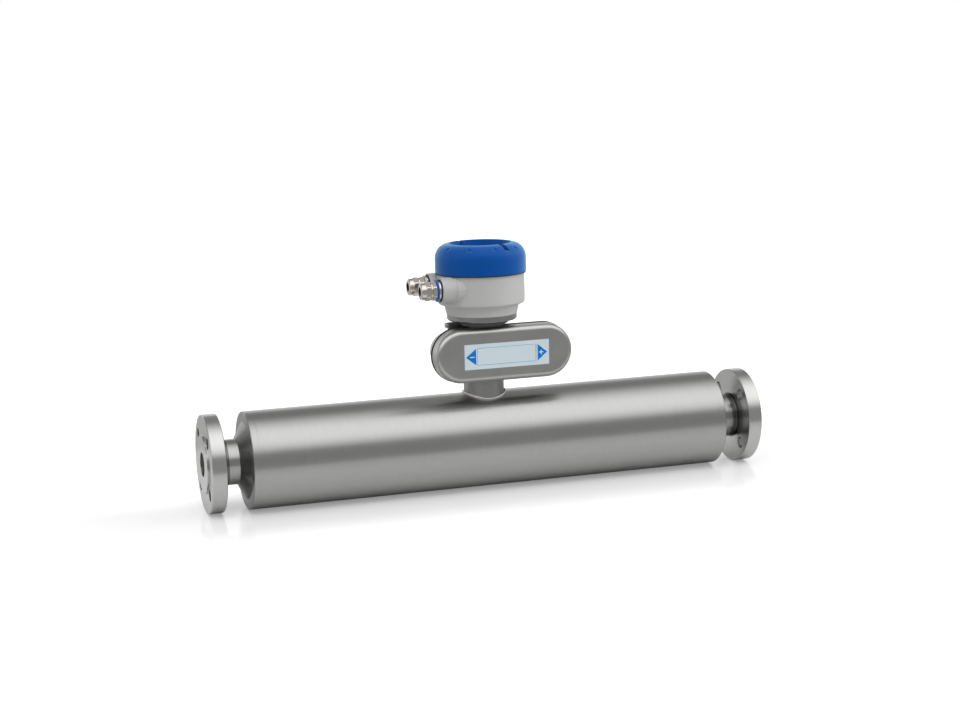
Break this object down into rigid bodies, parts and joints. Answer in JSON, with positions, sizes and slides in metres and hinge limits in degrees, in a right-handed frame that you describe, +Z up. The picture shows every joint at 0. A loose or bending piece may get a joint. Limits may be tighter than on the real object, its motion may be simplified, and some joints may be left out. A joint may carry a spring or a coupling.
{
  "type": "coriolis flow meter",
  "caption": "Inline twin straight tube coriolis mass flow meter with round pipe flanges, a cylindrical body, an oval electronics case and a round terminal head with a screw cap.",
  "frame": {"origin": "centre of the inlet sealing face, on the pipe axis", "axes": "+X along the pipe from inlet to outlet, +Z up through the stem and the head, the label faces -Y"},
  "size_m": [0.686, 0.115, 0.294],
  "materials": {
    "flange_steel": "turned stainless",
    "neck_steel": "turned stainless",
    "end_cap_steel": "turned stainless",
    "body_steel": "circumferentially brushed stainless",
    "case_steel": "blasted stainless",
    "inner_steel": "drawn stainless",
    "copper": "wound copper wire",
    "magnet": "plated magnet",
    "sensor_white": "potted",
    "wire_grey": "sleeved wires",
    "feedthrough_glass": "glass sealed steel",
    "black_rubber": "matt rubber",
    "collar_black": "black plastic",
    "screw_steel": "bright steel",
    "label_silver": "printed silver plate",
    "board_green": "solder mask",
    "parts_black": "moulded",
    "terminal_grey": "moulded",
    "head_paint": "light grey painted casting",
    "cap_blue": "blue painted casting",
    "gland_nickel": "nickel plated",
    "marker_blue": "moulded"
  },
  "bodies": {
    "meter": {"inlet_flange": "flange_steel", "outlet_flange": "flange_steel", "inlet_neck": "neck_steel", "outlet_neck": "neck_steel", "inlet_end_cap": "end_cap_steel", "outlet_end_cap": "end_cap_steel", "body_tube": "body_steel", "inlet_splitter": "inner_steel", "outlet_splitter": "inner_steel", "measuring_tube_1": "inner_steel", "measuring_tube_2": "inner_steel", "inlet_brace_plate": "inner_steel", "outlet_brace_plate": "inner_steel", "coil_brackets": "inner_steel", "magnet_brackets": "inner_steel", "drive_coil": "copper", "drive_magnet": "magnet", "inlet_pickup_coil": "copper", "inlet_pickup_magnet": "magnet", "outlet_pickup_coil": "copper", "outlet_pickup_magnet": "magnet", "temperature_sensor": "sensor_white", "sensor_loom": "wire_grey", "feedthrough": "feedthrough_glass", "stem_tube": "body_steel", "stem_weld": "body_steel", "case_rear_shell": "case_steel", "case_front_cover": "case_steel", "case_gasket": "black_rubber", "case_screws": "screw_steel", "label_plate": "label_silver", "main_board": "board_green", "board_parts": "parts_black", "board_standoffs": "screw_steel", "board_screws": "screw_steel", "lead_bundle": "wire_grey", "neck_socket": "case_steel", "swivel_collar": "collar_black", "swivel_retainer": "screw_steel", "earth_screw": "screw_steel", "earth_washer": "screw_steel"},
    "head": {"head_base_ring": "case_steel", "base_ring_screws": "screw_steel", "head_housing": "head_paint", "terminal_board": "board_green", "terminal_block": "terminal_grey", "terminal_screws": "screw_steel", "gland_seal_rings": "black_rubber", "gland_washers": "gland_nickel", "gland_marker_rings": "marker_blue", "gland_1_body": "gland_nickel", "gland_2_body": "gland_nickel"},
    "cap_seal": {"cap_seal": "black_rubber"},
    "cap": {"cap": "cap_blue"},
    "gland_1_insert": {"gland_1_insert": "black_rubber"},
    "gland_1_nut": {"gland_1_nut": "gland_nickel"},
    "gland_2_insert": {"gland_2_insert": "black_rubber"},
    "gland_2_nut": {"gland_2_nut": "gland_nickel"}
  },
  "joints": [
    {"name": "head_turn", "type": "hinge", "parent": "meter", "child": "head", "pos_m": [0.343, 0, 0.14505], "axis": [0, 0, 1], "range_deg": [-170, 170]},
    {"name": "cap_lift", "type": "slide", "parent": "head", "child": "cap_seal", "axis": [0, 0, 1], "range_m": [0, 0.00801]},
    {"name": "cap_turn", "type": "hinge", "parent": "cap_seal", "child": "cap", "pos_m": [0.343, 0, 0.20165], "axis": [0, 0, 1], "range_deg": [0, 1440]},
    {"name": "gland_1_lift", "type": "slide", "parent": "head", "child": "gland_1_insert", "axis": [-1, 0, 0], "range_m": [0, 0.00601]},
    {"name": "gland_1_turn", "type": "hinge", "parent": "gland_1_insert", "child": "gland_1_nut", "pos_m": [0.2595, -0.025, 0.18545], "axis": [-1, 0, 0], "range_deg": [0, 1440]},
    {"name": "gland_2_lift", "type": "slide", "parent": "head", "child": "gland_2_insert", "axis": [-1, 0, 0], "range_m": [0, 0.00601]},
    {"name": "gland_2_turn", "type": "hinge", "parent": "gland_2_insert", "child": "gland_2_nut", "pos_m": [0.2595, 0.025, 0.18545], "axis": [-1, 0, 0], "range_deg": [0, 1440]}
  ],
  "couplings": [
    {"joint": "cap_lift", "follows": "cap_turn", "m_per_rad": 0.00031831},
    {"joint": "gland_1_lift", "follows": "gland_1_turn", "m_per_rad": 0.00023873},
    {"joint": "gland_2_lift", "follows": "gland_2_turn", "m_per_rad": 0.00023873}
  ]
}
